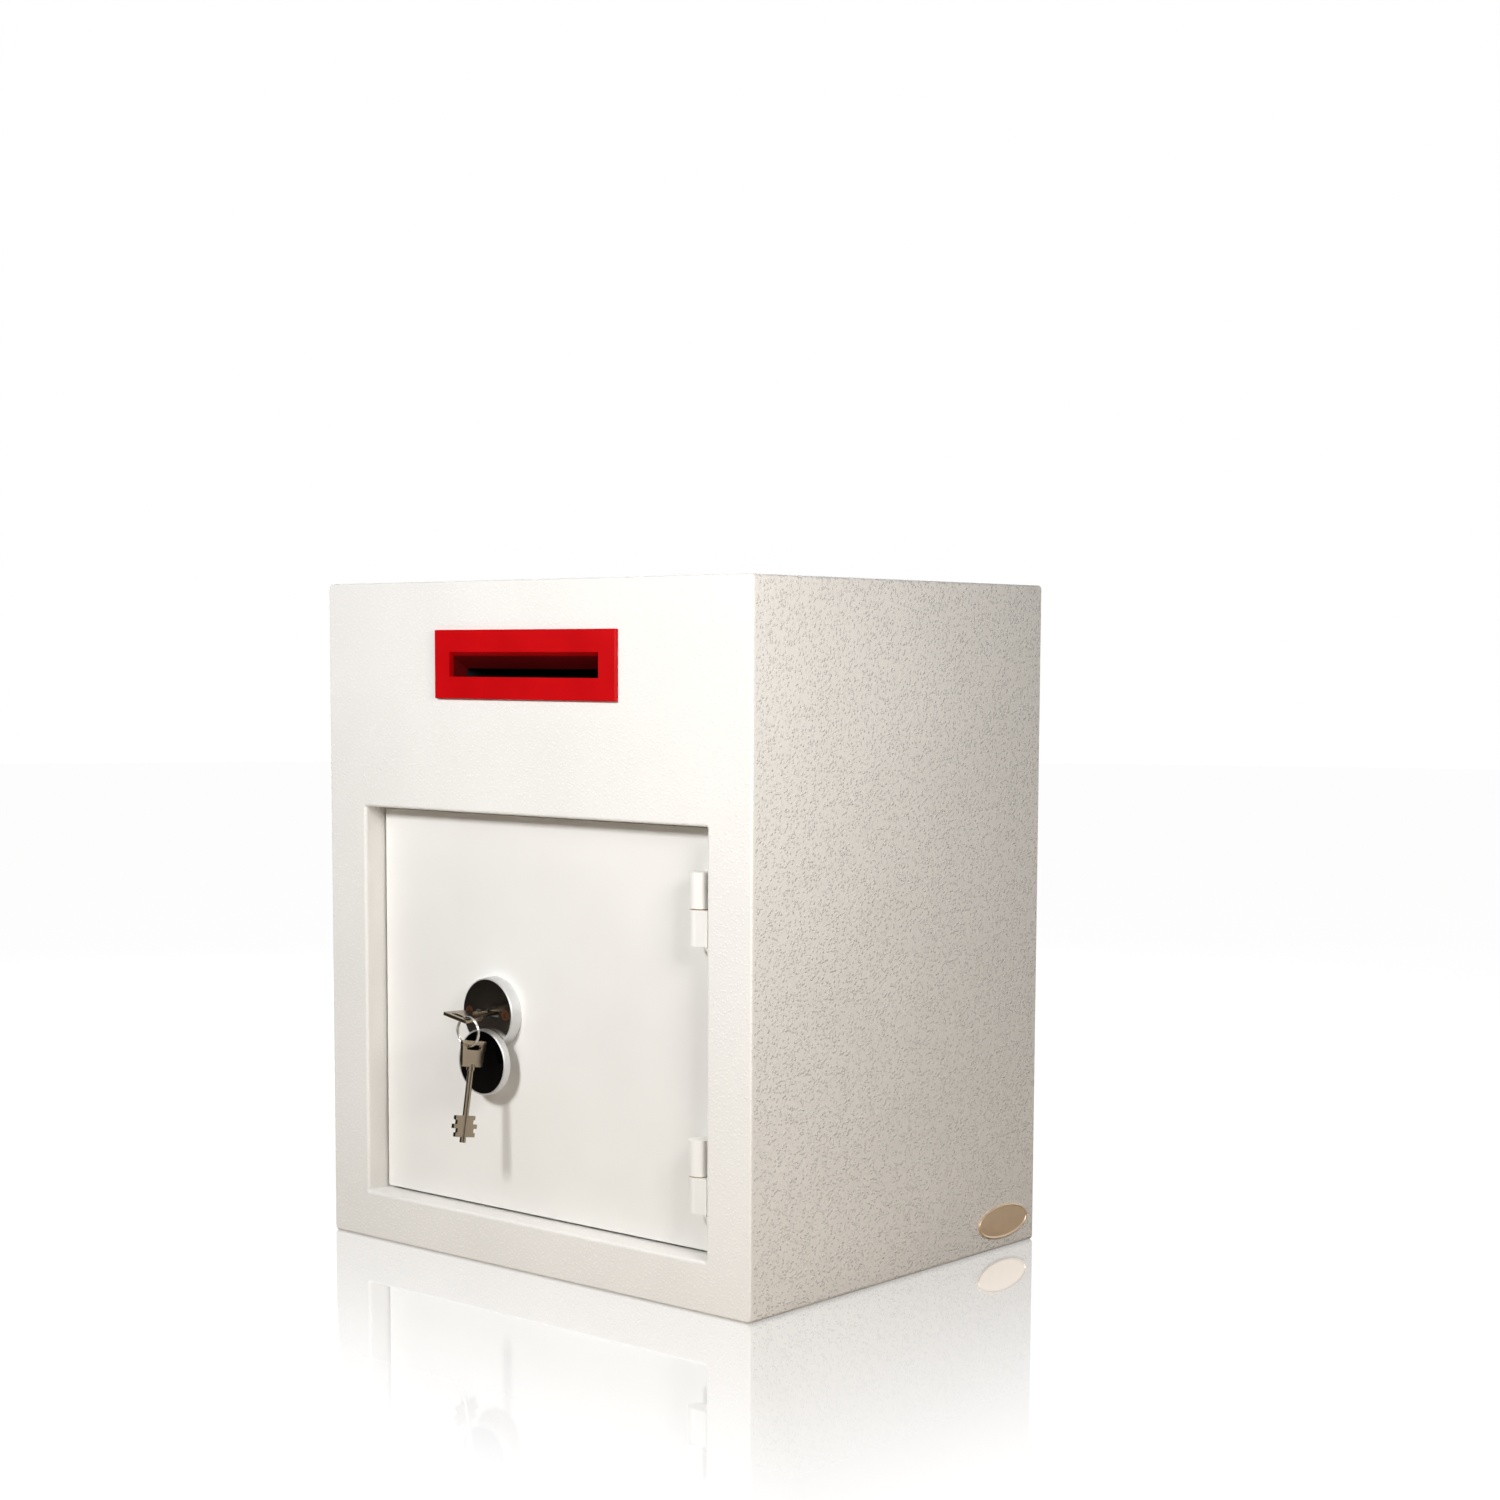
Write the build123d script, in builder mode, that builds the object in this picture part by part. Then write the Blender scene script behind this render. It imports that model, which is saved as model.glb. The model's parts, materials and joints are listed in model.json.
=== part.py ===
from build123d import *
import math
import os

# Deposit safe, in millimetres. +X is to the right seen from the front, +Y goes into the safe,
# +Z is up. The origin is the middle of the cabinet's underside.

# Cabinet
WIDTH = 425.0
DEPTH = 335.0
HEIGHT = 500.0
SHEET = 3.0              # cabinet sheet
BEND_R = 3.0             # outside radius of the cabinet's long bends
FRONT_EDGE_R = 1.8       # softened outer edge of the front
ANCHOR_HOLE_D = 12.0
FLOOR_ANCHOR_X = 250.0   # spacing of the floor anchor holes
FLOOR_ANCHOR_Y = 180.0
BACK_ANCHOR_X = 250.0    # spacing of the two holes in the back
BACK_ANCHOR_Z = 400.0

# Door opening and reveal
OPENING_W = 345.0
OPENING_H = 296.0
OPENING_Z0 = 36.0        # lower edge of the opening
OPENING_EDGE_R = 2.4
REVEAL_DEPTH = 27.0      # front face to the end of the reveal
STOP_W = 8.0             # how far the stop frame reaches into the opening
STOP_T = 3.0
BUFFER_R = 3.0
BUFFER_X = 80.0          # upper and lower buffer, clear of the inner cover
BUFFER_PLAY = 0.3

# Door
DOOR_T = 5.0
DOOR_GAP = 2.0
DOOR_RECESS = 18.5       # front face of the cabinet to the door's face

# Hinges
KNUCKLE_R = 7.5
KNUCKLE_L = 25.0
HINGE_SIDE_GAP = 4.8     # knuckle to the side of the reveal
HINGE_LOW = 57.0         # lower edge of the opening up to the lower hinge's split
HINGE_HIGH = 56.0        # upper edge of the opening down to the upper hinge's split
HINGE_PIN_R = 4.0
WASHER_T = 0.7
RUN_CLEAR = 0.05         # radial clearance of a running fit
FIXED_CLEAR = 0.02       # radial gap of a pin that is fixed in its hole

# Deposit slot
SLOT_W = 150.0
SLOT_H = 18.0
SLOT_DOWN = 60.25        # top of the cabinet down to the middle of the slot
BEZEL_W = 182.0
BEZEL_H = 50.0
BEZEL_T = 3.0
HOOD_DEPTH = 15.0        # slanted roof inside the slot, from the front face
HOOD_DROP = 12.0
SLIDE_DEPTH = 10.0
THROAT_T = 2.0
STUD_R = 2.0
CHUTE_T = 1.5
CHUTE_RUN = 60.0         # horizontal length of the sloping chute floor
CHUTE_OPEN = 37.0        # clear height square to the slope
BAFFLE_BACK = 157.5      # front face of the cabinet to the baffle's bend
BAFFLE_DROP = 44.75      # middle of the slot down to the baffle's lower edge
COMB_TEETH = 15
COMB_TOOTH = 14.0

# Lock
LOCK_X = -50.0           # key axis
LOCK_Z = 184.5
LOCK_W = 80.0
LOCK_H = 66.0
LOCK_LEFT = 42.0         # key axis to the left side of the case
LOCK_DEPTH = 26.0
LOCK_WALL = 2.0
DRILL_PLATE_T = 2.0
LEVERS = 5
LEVER_T = 1.8
LEVER_PITCH = 2.2
THROW = 18.0             # travel of the bolts
LOCK_BOLT_T = 4.5

# Boltwork
BOLT_R = 10.0
BOLT_SPREAD = 85.0       # key axis to each round bolt
BOLT_TIP_X = 12.5        # side of the opening to the tips when withdrawn
BAR_T = 5.0
BAR_W = 23.0
GUIDE_T = 4.0
COVER_T = 1.2
COVER_H = 36.0           # height of the inner cover over the door's back

# Escutcheon and swing cover
ROSE_BASE_R = 26.6
ROSE_FACE_R = 25.3
ROSE_T = 9.3
FACE_R = 24.75
FACE_T = 1.2
ROSE_SCREW_X = 18.8
KEYHOLE_W = 25.0
KEYHOLE_H = 4.2
KEYHOLE_BARREL_R = 3.4
COVER_DROP = 17.9        # key axis down to the cover's pivot, and from there to the cover's middle
COVER_R = 24.4
COVER_FACE_R = 23.1
COVER_BODY_T = 5.7
COVER_AIR = 0.3
PIVOT_R = 2.0

# Keys
KEY_L = 74.0
KEY_OUT = 42.1           # door's face to the outer end of the key's bow
BOW_L = 19.0
BOW_W_OUT = 25.0
BOW_W_IN = 20.0
BOW_T = 2.5
BOW_ROUND = 0.4          # rounding of the bow's edges
BOW_SLOT_W = 14.0
BOW_SLOT_H = 3.4
BOW_BAR = 3.2            # outer end of the bow to its slot
SHANK_R = 2.25
BIT_T = 2.4
BIT_TIP = 4.0            # end of the shank beyond the bits
BIT_STEP = 3.1
BIT_STEPS = (9.0, 7.4, 11.5, 8.4, 10.2)
KEY_ROLL = 10.0          # the key stands turned this far clockwise in the photograph
RING_R = 10.8            # middle of the wire
RING_WIRE = 1.25
RING_HANG = 8.15         # middle of the bow's side bar down to the middle of the ring
SPARE_TILT = 9.4

# Badge
BADGE_W = 63.0
BADGE_H = 25.0
BADGE_T = 1.6
BADGE_BACK = 40.8        # middle of the badge to the cabinet's back
BADGE_Z = 21.0

# Places worked out from the sizes above
front = -DEPTH / 2
back = DEPTH / 2
side = WIDTH / 2
sheet_back = front + SHEET
opening_x = OPENING_W / 2
opening_mid = OPENING_Z0 + OPENING_H / 2
hinge_splits = (OPENING_Z0 + HINGE_LOW, OPENING_Z0 + OPENING_H - HINGE_HIGH)
slot_z = HEIGHT - SLOT_DOWN
badge_y = back - BADGE_BACK
reveal_end = front + REVEAL_DEPTH
stop_back = reveal_end + STOP_T
stop_x = opening_x - STOP_W
door_front = front + DOOR_RECESS
door_back = door_front + DOOR_T
door_x = opening_x - DOOR_GAP
door_h = OPENING_H - 2 * DOOR_GAP
hinge_x = opening_x - HINGE_SIDE_GAP - KNUCKLE_R
hinge_y = front + KNUCKLE_R
case_front = door_back + DRILL_PLATE_T
case_back = case_front + LOCK_DEPTH
lid_back = case_back + LOCK_WALL
case_left = LOCK_X - LOCK_LEFT
case_mid = case_left + LOCK_W / 2
bolt_y = stop_back + 1.0 + BOLT_R
bolt_tip = -opening_x + BOLT_TIP_X
guide_x = bolt_tip + 10.0
bar_x = guide_x + GUIDE_T + THROW + 16.0
bolt_levels = (LOCK_Z - BOLT_SPREAD, LOCK_Z + BOLT_SPREAD)
rose_front = door_front - ROSE_T
cover_back = rose_front - COVER_AIR
cover_front = cover_back - COVER_BODY_T
pivot_z = LOCK_Z - COVER_DROP
cover_z = pivot_z - COVER_DROP
key_start = door_front - KEY_OUT
bit_start = KEY_L - BIT_TIP - BIT_STEP * len(BIT_STEPS)
bit_sweep = max(BIT_STEPS) + 0.7
bits_y = key_start + bit_start


def facing_back(y):
    """Sketch plane at depth y that is extruded into the safe, with x to the left and y up."""
    return Plane((0, y, 0), x_dir=(-1, 0, 0), z_dir=(0, 1, 0))


def facing_front(y):
    """Sketch plane at depth y that is extruded towards the viewer, with x to the right and y up."""
    return Plane((0, y, 0), x_dir=(1, 0, 0), z_dir=(0, -1, 0))


def facing_right(x):
    """Sketch plane at x that is extruded to the right, with x into the safe and y up."""
    return Plane((x, 0, 0), x_dir=(0, 1, 0), z_dir=(1, 0, 0))


def finish(piece, name):
    """Label a finished piece and write it to its own file."""
    piece.part.label = name
    export_step(piece.part, f"parts/{name}.step")


os.makedirs("parts", exist_ok=True)

# Cabinet wrap: one sheet bent into top, bottom and both sides, open at the front and the back
with BuildPart() as cabinet_wrap:
    with BuildSketch(facing_back(sheet_back)):
        with Locations((0, HEIGHT / 2)):
            RectangleRounded(WIDTH, HEIGHT, BEND_R)
            RectangleRounded(WIDTH - 2 * SHEET, HEIGHT - 2 * SHEET, BEND_R / 3, mode=Mode.SUBTRACT)
    extrude(amount=back - sheet_back)
    with BuildSketch(Plane.XY):
        with GridLocations(FLOOR_ANCHOR_X, FLOOR_ANCHOR_Y, 2, 2):
            Circle(ANCHOR_HOLE_D / 2)
    extrude(amount=SHEET, mode=Mode.SUBTRACT)
finish(cabinet_wrap, "cabinet_wrap")

# Back panel: welded between the walls, flush with their back edges
with BuildPart() as back_panel:
    with BuildSketch(facing_back(back - SHEET)):
        with Locations((0, HEIGHT / 2)):
            RectangleRounded(WIDTH - 2 * SHEET - 0.4, HEIGHT - 2 * SHEET - 0.4, BEND_R / 3)
        with Locations((0, BACK_ANCHOR_Z)):
            with GridLocations(BACK_ANCHOR_X, 1, 2, 1):
                Circle(ANCHOR_HOLE_D / 2, mode=Mode.SUBTRACT)
    extrude(amount=SHEET)
finish(back_panel, "back_panel")

# Front panel: the front sheet with the four sides of the door reveal bent inwards from it
stud_spots = [(sx * (BEZEL_W / 2 - 6.5), slot_z + sz * 15.0) for sx in (-1, 1) for sz in (-1, 1)]
throat_top = slot_z + SLOT_H / 2 + THROAT_T + 1.0
throat_bottom = slot_z - SLOT_H / 2 - SHEET - 2 * THROAT_T - 1.0
with BuildPart() as front_panel:
    with BuildSketch(facing_back(front)):
        with Locations((0, HEIGHT / 2)):
            RectangleRounded(WIDTH, HEIGHT, BEND_R)
    extrude(amount=SHEET)
    fillet(front_panel.faces().sort_by(Axis.Y)[0].edges(), radius=FRONT_EDGE_R)
    with BuildSketch(facing_back(sheet_back)):
        with Locations((0, opening_mid)):
            Rectangle(OPENING_W + 2 * SHEET, OPENING_H + 2 * SHEET)
    extrude(amount=reveal_end - sheet_back)
    with BuildSketch(facing_back(front)):
        with Locations((0, opening_mid)):
            RectangleRounded(OPENING_W, OPENING_H, 1.0)
    extrude(amount=REVEAL_DEPTH, mode=Mode.SUBTRACT)
    opening_face = front_panel.faces().filter_by(Axis.Y).sort_by(Axis.Y)[0]
    fillet(opening_face.inner_wires()[0].edges(), radius=OPENING_EDGE_R)
    with BuildSketch(facing_back(front)):
        with Locations((0, (throat_top + throat_bottom) / 2)):
            Rectangle(SLOT_W + 2 * THROAT_T + 2, throat_top - throat_bottom)
        with Locations(*[(-x, z) for x, z in stud_spots]):
            Circle(STUD_R + 0.2)
    extrude(amount=SHEET, mode=Mode.SUBTRACT)
finish(front_panel, "front_panel")

# Stop frame: flat bars welded on the reveal's inner edge; the bolts and the dog bar hold behind it
with BuildPart() as stop_frame:
    with BuildSketch(facing_back(reveal_end)):
        with Locations((0, opening_mid)):
            Rectangle(OPENING_W + 2 * SHEET, OPENING_H + 2 * SHEET)
            Rectangle(OPENING_W - 2 * STOP_W, OPENING_H - 2 * STOP_W, mode=Mode.SUBTRACT)
    extrude(amount=STOP_T)
finish(stop_frame, "stop_frame")

# Rubber buffers on the stop frame, which the closed door meets
buffer_spots = [(stop_x + STOP_W / 2, opening_mid - 110), (stop_x + STOP_W / 2, opening_mid + 110),
                (-BUFFER_X, OPENING_Z0 + STOP_W / 2), (-BUFFER_X, OPENING_Z0 + OPENING_H - STOP_W / 2)]
with BuildPart() as door_buffers:
    with BuildSketch(facing_back(door_back + BUFFER_PLAY)):
        with Locations(*buffer_spots):
            Circle(BUFFER_R)
    extrude(amount=reveal_end - door_back - BUFFER_PLAY)
finish(door_buffers, "door_buffers")

# Slot bezel: flange, slanted hood, lower slide and two cheeks
hood_front = slot_z + SLOT_H / 2
slide_front = slot_z - SLOT_H / 2
flange_front = front - BEZEL_T
hood_end = (front + HOOD_DEPTH, hood_front - HOOD_DROP)
slide_end = (front + SLIDE_DEPTH, slide_front - SLIDE_DEPTH)
with BuildPart() as slot_bezel:
    with BuildSketch(facing_back(flange_front)):
        with Locations((0, slot_z)):
            RectangleRounded(BEZEL_W, BEZEL_H, 0.8)
            Rectangle(SLOT_W, SLOT_H, mode=Mode.SUBTRACT)
    extrude(amount=BEZEL_T)
    outer_face = slot_bezel.faces().sort_by(Axis.Y)[0]
    fillet(outer_face.outer_wire().edges(), radius=0.8)
    with BuildSketch(facing_right(-SLOT_W / 2)):
        Polygon((flange_front, hood_front), hood_end, (hood_end[0] + 1.1, hood_end[1] + 1.7),
                (front, hood_front + THROAT_T), (front, hood_front), align=None)
        Polygon((front, slide_front), slide_end, (slide_end[0] - 1.4, slide_end[1] - 1.4),
                (front, slide_front - 2 * 1.4), align=None)
    extrude(amount=SLOT_W)
    for x in (-SLOT_W / 2 - THROAT_T, SLOT_W / 2):
        with BuildSketch(facing_right(x)):
            Polygon((front, hood_front + THROAT_T), (hood_end[0] + 1.1, hood_end[1] + 1.7),
                    slide_end, (slide_end[0] - 1.4, slide_end[1] - 1.4),
                    (front, slide_front - 2 * 1.4), align=None)
        extrude(amount=THROAT_T)
finish(slot_bezel, "slot_bezel")

# Four weld studs behind the bezel's flange, and their nuts inside the cabinet
chute_flange_back = sheet_back + CHUTE_T
with BuildPart() as bezel_studs:
    with BuildSketch(facing_back(front)):
        with Locations(*stud_spots):
            Circle(STUD_R)
    extrude(amount=SHEET + CHUTE_T + 5.0)
finish(bezel_studs, "bezel_studs")

with BuildPart() as bezel_nuts:
    with BuildSketch(facing_back(chute_flange_back)):
        with Locations(*stud_spots):
            RegularPolygon(radius=4.0, side_count=6)
            Circle(STUD_R + FIXED_CLEAR, mode=Mode.SUBTRACT)
    extrude(amount=3.2)
finish(bezel_nuts, "bezel_nuts")

# Deposit chute: a sloping sheet duct that leads down and back from the slot
chute_x = SLOT_W / 2 + THROAT_T + 1.5
floor_top = (sheet_back, throat_bottom - 1.0)
floor_end = (sheet_back + CHUTE_RUN, floor_top[1] - CHUTE_RUN)
rise = CHUTE_OPEN / math.sqrt(2)
roof_end = (floor_end[0] + rise, floor_end[1] + rise)
roof_z = throat_top + 8.0
roof_knee = (roof_end[0] - (roof_z - roof_end[1]), roof_z)
slant = CHUTE_T / math.sqrt(2)
with BuildPart() as deposit_chute:
    with BuildSketch(facing_right(-chute_x)):
        Polygon(floor_top, floor_end, (floor_end[0] - slant, floor_end[1] - slant),
                (sheet_back, floor_top[1] - 2 * slant), align=None)
        Polygon((sheet_back, roof_z), roof_knee, roof_end, (roof_end[0] + slant, roof_end[1] + slant),
                (roof_knee[0] + 0.4 * CHUTE_T, roof_z + CHUTE_T), (sheet_back, roof_z + CHUTE_T),
                align=None)
    extrude(amount=2 * chute_x)
    for x in (-chute_x - CHUTE_T, chute_x):
        with BuildSketch(facing_right(x)):
            Polygon((sheet_back, roof_z + CHUTE_T), (roof_knee[0] + 0.4 * CHUTE_T, roof_z + CHUTE_T),
                    (roof_end[0] + slant, roof_end[1] + slant),
                    (floor_end[0] - slant, floor_end[1] - slant),
                    (sheet_back, floor_top[1] - 2 * slant), align=None)
        extrude(amount=CHUTE_T)
    with BuildSketch(facing_back(sheet_back)):
        for x in (-1, 1):
            with Locations((x * (chute_x + 6.5), (roof_z + floor_top[1]) / 2)):
                Rectangle(13.0, roof_z - floor_top[1])
        with Locations(*stud_spots):
            Circle(STUD_R + 0.2, mode=Mode.SUBTRACT)
    extrude(amount=CHUTE_T)
finish(deposit_chute, "deposit_chute")

# Anti-fishing comb: a row of teeth across the lower end of the chute, on the end of its roof
comb_plane = Plane((0, roof_end[0] + slant, roof_end[1] + slant), x_dir=(1, 0, 0),
                   z_dir=(0, -1, 1))
comb_w = 2 * chute_x - 1.0
pitch = comb_w / COMB_TEETH
teeth = []
for i in range(COMB_TEETH):
    x0 = -comb_w / 2 + i * pitch
    teeth += [(x0, -CHUTE_T - 4.0), (x0 + pitch / 2, -CHUTE_T - 4.0 - COMB_TOOTH)]
teeth.append((comb_w / 2, -CHUTE_T - 4.0))
with BuildPart() as fishing_comb:
    with BuildSketch(comb_plane):
        with BuildLine():
            Polyline((-comb_w / 2, 8.0), *teeth, (comb_w / 2, 8.0), close=True)
        make_face()
    extrude(amount=-CHUTE_T)
finish(fishing_comb, "fishing_comb")

# Baffle plate: hangs from the cabinet's top behind the chute's end
baffle_y = front + BAFFLE_BACK
baffle_top = HEIGHT - SHEET
with BuildPart() as baffle_plate:
    with BuildSketch(facing_right(-WIDTH / 2 + 45)):
        Polygon((baffle_y, baffle_top), (baffle_y + 30, baffle_top), (baffle_y + 30, baffle_top - 2),
                (baffle_y + 3, baffle_top - 2), (baffle_y - 27, slot_z - BAFFLE_DROP),
                (baffle_y - 29, slot_z - BAFFLE_DROP + 0.5), align=None)
    extrude(amount=WIDTH - 90)
finish(baffle_plate, "baffle_plate")

# Lower hinge knuckles: welded to the side of the reveal, with a weld fillet below each
with BuildPart() as frame_knuckles:
    for split in hinge_splits:
        top = split - WASHER_T / 2 - 0.05
        bottom = split - KNUCKLE_L
        with BuildSketch(Plane.XY.offset(bottom)):
            with Locations((hinge_x, hinge_y)):
                Circle(KNUCKLE_R)
            with Locations((hinge_x, hinge_y - 0.5)):
                Rectangle(opening_x - hinge_x, 13.4, align=(Align.MIN, Align.CENTER))
        extrude(amount=top - bottom)
        with BuildSketch(facing_back(hinge_y - 6.0)):
            with BuildLine():
                Line((-opening_x, bottom), (-opening_x, bottom - 6))
                RadiusArc((-opening_x, bottom - 6), (-opening_x + 6, bottom), 6)
                Line((-opening_x + 6, bottom), (-opening_x, bottom))
            make_face()
        extrude(amount=11.0)
        with BuildSketch(Plane.XY.offset(bottom + 2)):
            with Locations((hinge_x, hinge_y)):
                Circle(HINGE_PIN_R + FIXED_CLEAR)
        extrude(amount=KNUCKLE_L, mode=Mode.SUBTRACT)
finish(frame_knuckles, "frame_knuckles")

# Hinge pins, fixed in the lower knuckles
with BuildPart() as hinge_pins:
    for split in hinge_splits:
        with Locations((hinge_x, hinge_y, split - KNUCKLE_L + 2)):
            Cylinder(HINGE_PIN_R, 2 * KNUCKLE_L - 7, align=(Align.CENTER, Align.CENTER, Align.MIN))
    pin_tops = hinge_pins.faces().filter_by(Axis.Z).group_by(Axis.Z)
    chamfer([f.edges() for f in pin_tops[1] + pin_tops[3]], length=0.8)
finish(hinge_pins, "hinge_pins")

# Brass thrust washers, which carry the door
with BuildPart() as hinge_washers:
    for split in hinge_splits:
        with BuildSketch(Plane.XY.offset(split - WASHER_T / 2)):
            with Locations((hinge_x, hinge_y)):
                Circle(KNUCKLE_R - 1.6)
                Circle(HINGE_PIN_R + 0.1, mode=Mode.SUBTRACT)
        extrude(amount=WASHER_T)
finish(hinge_washers, "hinge_washers")

# Oval badge with a raised rim, bare inside
with BuildPart() as oval_badge:
    with BuildSketch(facing_right(side)):
        with Locations((badge_y, BADGE_Z)):
            Ellipse(BADGE_W / 2, BADGE_H / 2)
    extrude(amount=BADGE_T)
    with BuildSketch(facing_right(side + BADGE_T)):
        with Locations((badge_y, BADGE_Z)):
            Ellipse(BADGE_W / 2 - 1.6, BADGE_H / 2 - 1.6)
    extrude(amount=-0.6, mode=Mode.SUBTRACT)
finish(oval_badge, "oval_badge")

# Door plate, with the keyhole, the escutcheon's screw holes and the blind holes on its back
lock_screw_spots = [(case_mid + sx * (LOCK_W / 2 - 6.5), LOCK_Z + sz * (LOCK_H / 2 - 6.5))
                    for sx in (-1, 1) for sz in (-1, 1)]
cover_left = guide_x - COVER_T - 4.0
cover_right = 8.0
cover_z0 = OPENING_Z0 + 19.0
cover_z1 = OPENING_Z0 + OPENING_H - 18.0
cover_foot = 12.0
cover_screw_spots = [(x, z) for x in (cover_left + 30, cover_right - 30)
                     for z in (cover_z0 - cover_foot / 2, cover_z1 + cover_foot / 2)]
with BuildPart() as door_plate:
    with BuildSketch(facing_back(door_front)):
        with Locations((0, opening_mid)):
            RectangleRounded(2 * door_x, door_h, 1.5)
    extrude(amount=DOOR_T)
    fillet(door_plate.faces().sort_by(Axis.Y)[0].edges(), radius=0.8)
    with BuildSketch(facing_back(door_front)):
        with Locations((-LOCK_X, LOCK_Z)):
            SlotOverall(KEYHOLE_W + 1, KEYHOLE_H + 1)
            Circle(KEYHOLE_BARREL_R + 0.5)
        with Locations((-LOCK_X - ROSE_SCREW_X, LOCK_Z), (-LOCK_X + ROSE_SCREW_X, LOCK_Z)):
            Circle(2.0 + FIXED_CLEAR)
    extrude(amount=DOOR_T, mode=Mode.SUBTRACT)
    with BuildSketch(facing_front(door_back)):
        with Locations(*lock_screw_spots):
            Circle(2.5 + FIXED_CLEAR)
        with Locations(*cover_screw_spots):
            Circle(2.0 + FIXED_CLEAR)
    extrude(amount=3.2, mode=Mode.SUBTRACT)
finish(door_plate, "door_plate")

# Upper hinge knuckles: closed at the top, bored for the pin, welded to the door's face
with BuildPart() as door_knuckles:
    for split in hinge_splits:
        bottom = split + WASHER_T / 2 + 0.05
        with BuildSketch(Plane.XY.offset(bottom)):
            with Locations((hinge_x, hinge_y)):
                Circle(KNUCKLE_R)
            with Locations((hinge_x, hinge_y)):
                Rectangle(12.0, door_front - hinge_y, align=(Align.CENTER, Align.MIN))
        extrude(amount=split + KNUCKLE_L - bottom)
        with BuildSketch(Plane.XY.offset(bottom)):
            with Locations((hinge_x, hinge_y)):
                Circle(HINGE_PIN_R + RUN_CLEAR)
        extrude(amount=KNUCKLE_L - 4.5, mode=Mode.SUBTRACT)
finish(door_knuckles, "door_knuckles")

# Dog bar: fixed to the hinge side of the door, it slips behind the stop frame as the door closes
dog_web = stop_x - 1.5
with BuildPart() as dog_bar:
    with BuildSketch(Plane.XY.offset(OPENING_Z0 + 26)):
        Polygon((dog_web - 23, door_back), (dog_web, door_back), (dog_web, stop_back + 0.5),
                (dog_web + 5, stop_back + 0.5), (dog_web + 5, stop_back + 6.5),
                (dog_web - 6, stop_back + 6.5), (dog_web - 6, door_back + 4),
                (dog_web - 23, door_back + 4), align=None)
    extrude(amount=OPENING_H - 52)
finish(dog_bar, "dog_bar")

# Bolt guide: an angle welded on the door's back, in whose holes the round bolts slide
guide_z = BOLT_SPREAD + 33.0
with BuildPart() as bolt_guide:
    with BuildSketch(Plane.XY.offset(LOCK_Z - guide_z)):
        Polygon((guide_x, door_back), (guide_x + GUIDE_T + 20, door_back),
                (guide_x + GUIDE_T + 20, door_back + 3), (guide_x + GUIDE_T, door_back + 3),
                (guide_x + GUIDE_T, door_back + 30), (guide_x, door_back + 30), align=None)
    extrude(amount=2 * guide_z)
    with BuildSketch(facing_right(guide_x)):
        with Locations(*[(bolt_y, z) for z in bolt_levels]):
            Circle(BOLT_R + 0.08)
    extrude(amount=GUIDE_T, mode=Mode.SUBTRACT)
finish(bolt_guide, "bolt_guide")

# Hardened plate between the door and the lock
with BuildPart() as drill_plate:
    with BuildSketch(facing_back(door_back)):
        with Locations((-case_mid, LOCK_Z)):
            RectangleRounded(LOCK_W + 4, LOCK_H + 4, 3)
        with Locations((-LOCK_X, LOCK_Z)):
            SlotOverall(KEYHOLE_W + 1, KEYHOLE_H + 1, mode=Mode.SUBTRACT)
            Circle(KEYHOLE_BARREL_R + 0.5, mode=Mode.SUBTRACT)
        with Locations(*[(-x, z) for x, z in lock_screw_spots]):
            Circle(2.7, mode=Mode.SUBTRACT)
    extrude(amount=DRILL_PLATE_T)
finish(drill_plate, "drill_plate")

# Lock case: an open box with four screw pillars, a round hole for the curtain and a slot for the tail
hub_r = 12.9
tail_z = 6.5
lock_bolt_back = case_back - 1.4
lock_bolt_front = lock_bolt_back - LOCK_BOLT_T
with BuildPart() as lock_case:
    with BuildSketch(facing_back(case_front)):
        with Locations((-case_mid, LOCK_Z)):
            RectangleRounded(LOCK_W, LOCK_H, 3)
    extrude(amount=LOCK_DEPTH)
    with BuildSketch(facing_back(case_front + LOCK_WALL)):
        with Locations((-case_mid, LOCK_Z)):
            RectangleRounded(LOCK_W - 2 * LOCK_WALL, LOCK_H - 2 * LOCK_WALL, 1)
    extrude(amount=LOCK_DEPTH, mode=Mode.SUBTRACT)
    with BuildSketch(facing_back(case_front + LOCK_WALL)):
        with Locations(*[(-x, z) for x, z in lock_screw_spots]):
            Circle(4.4)
    extrude(amount=LOCK_DEPTH - LOCK_WALL)
    with BuildSketch(facing_back(case_front)):
        with Locations((-LOCK_X, LOCK_Z)):
            Circle(hub_r + 0.1)
        with Locations(*[(-x, z) for x, z in lock_screw_spots]):
            Circle(2.7)
    extrude(amount=LOCK_DEPTH, mode=Mode.SUBTRACT)
    with BuildSketch(facing_right(case_left)):
        with Locations(((lock_bolt_front + lock_bolt_back) / 2, LOCK_Z)):
            Rectangle(LOCK_BOLT_T + 0.6, 2 * tail_z + 0.6)
    extrude(amount=LOCK_WALL + 0.5, mode=Mode.SUBTRACT)
finish(lock_case, "lock_case")

with BuildPart() as lock_lid:
    with BuildSketch(facing_back(case_back)):
        with Locations((-case_mid, LOCK_Z)):
            RectangleRounded(LOCK_W, LOCK_H, 3)
        with Locations((-LOCK_X, LOCK_Z)):
            Circle(SHANK_R + 0.3, mode=Mode.SUBTRACT)
        with Locations(*[(-x, z) for x, z in lock_screw_spots]):
            Circle(2.7, mode=Mode.SUBTRACT)
    extrude(amount=LOCK_WALL)
finish(lock_lid, "lock_lid")

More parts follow.
